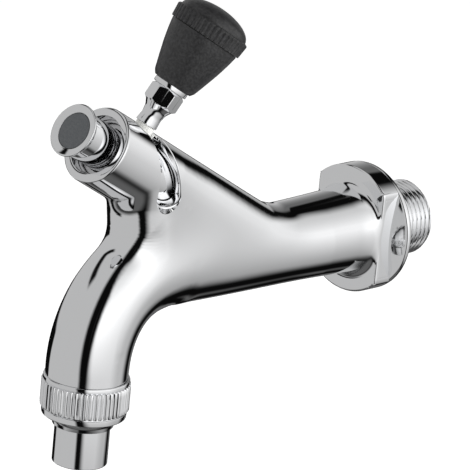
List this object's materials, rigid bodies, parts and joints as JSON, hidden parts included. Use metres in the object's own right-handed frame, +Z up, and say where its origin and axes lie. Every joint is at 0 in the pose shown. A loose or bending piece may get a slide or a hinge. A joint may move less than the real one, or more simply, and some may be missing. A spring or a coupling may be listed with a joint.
{
  "type": "hose bib",
  "caption": "Chromed lever draw-off tap with an inclined spindle barrel, a helical lever slot, a down-turned spout, a knurled outlet nut and a threaded wall inlet.",
  "frame": {"origin": "on the shank's axis, on the rear face of the collar that meets the wall", "axes": "+Y into the wall along the inlet thread, +Z up, +X to the side that the lever swings to; the spout points to -Z at the -Y end"},
  "size_m": [0.0392, 0.1471, 0.1367],
  "materials": {
    "chrome_casting": "polished bright chrome plate on cast brass",
    "chrome_trim": "turned brass, bright chrome plate",
    "steel_parts": "turned stainless steel",
    "brass_parts": "machined brass",
    "rubber_seals": "moulded black rubber",
    "knob_plastic": "moulded charcoal plastic, fine grain",
    "button_plastic": "grey plastic disc, satin",
    "nylon_parts": "natural nylon"
  },
  "bodies": {
    "tap": {"tap_body": "chrome_casting", "gland_snap_ring": "steel_parts", "gland_bush": "steel_parts", "gland_oring": "rubber_seals", "seat_ring": "brass_parts", "seat_oring": "rubber_seals"},
    "spindle": {"spindle_rod": "chrome_trim", "button_head": "chrome_trim", "button_inset": "button_plastic", "thrust_washer": "steel_parts", "sleeve_circlip": "steel_parts", "piston_oring_front": "rubber_seals", "piston_oring_rear": "rubber_seals", "valve_disc": "rubber_seals", "valve_washer": "brass_parts", "valve_nut": "brass_parts"},
    "lever": {"lever_sleeve": "steel_parts", "slot_bush": "nylon_parts", "lever_stem": "chrome_trim", "knob_ferrule": "chrome_trim", "knob_insert": "brass_parts", "knob_body": "knob_plastic", "knob_cap": "knob_plastic"},
    "nozzle": {"nozzle": "chrome_trim", "nozzle_gasket": "rubber_seals", "flow_straightener": "nylon_parts"},
    "nut": {"union_nut": "chrome_trim"}
  },
  "joints": [
    {"name": "piston_slide", "type": "slide", "parent": "tap", "child": "spindle", "axis": [0, 0.8616, -0.5075], "range_m": [0, 0.0126]},
    {"name": "lever_turn", "type": "hinge", "parent": "spindle", "child": "lever", "pos_m": [0, -0.10499, 0.03521], "axis": [0, 0.8616, -0.5075], "range_deg": [0, 94]},
    {"name": "nozzle_drop", "type": "slide", "parent": "tap", "child": "nozzle", "axis": [0, 0, -1], "range_m": [0, 0.0061]},
    {"name": "nut_turn", "type": "hinge", "parent": "nozzle", "child": "nut", "pos_m": [0, -0.1112, -0.035], "axis": [0, 0, -1], "range_deg": [0, 1440]}
  ],
  "couplings": [
    {"joint": "piston_slide", "follows": "lever_turn", "m_per_rad": 0.00762},
    {"joint": "nozzle_drop", "follows": "nut_turn", "m_per_rad": 0.00023873}
  ]
}
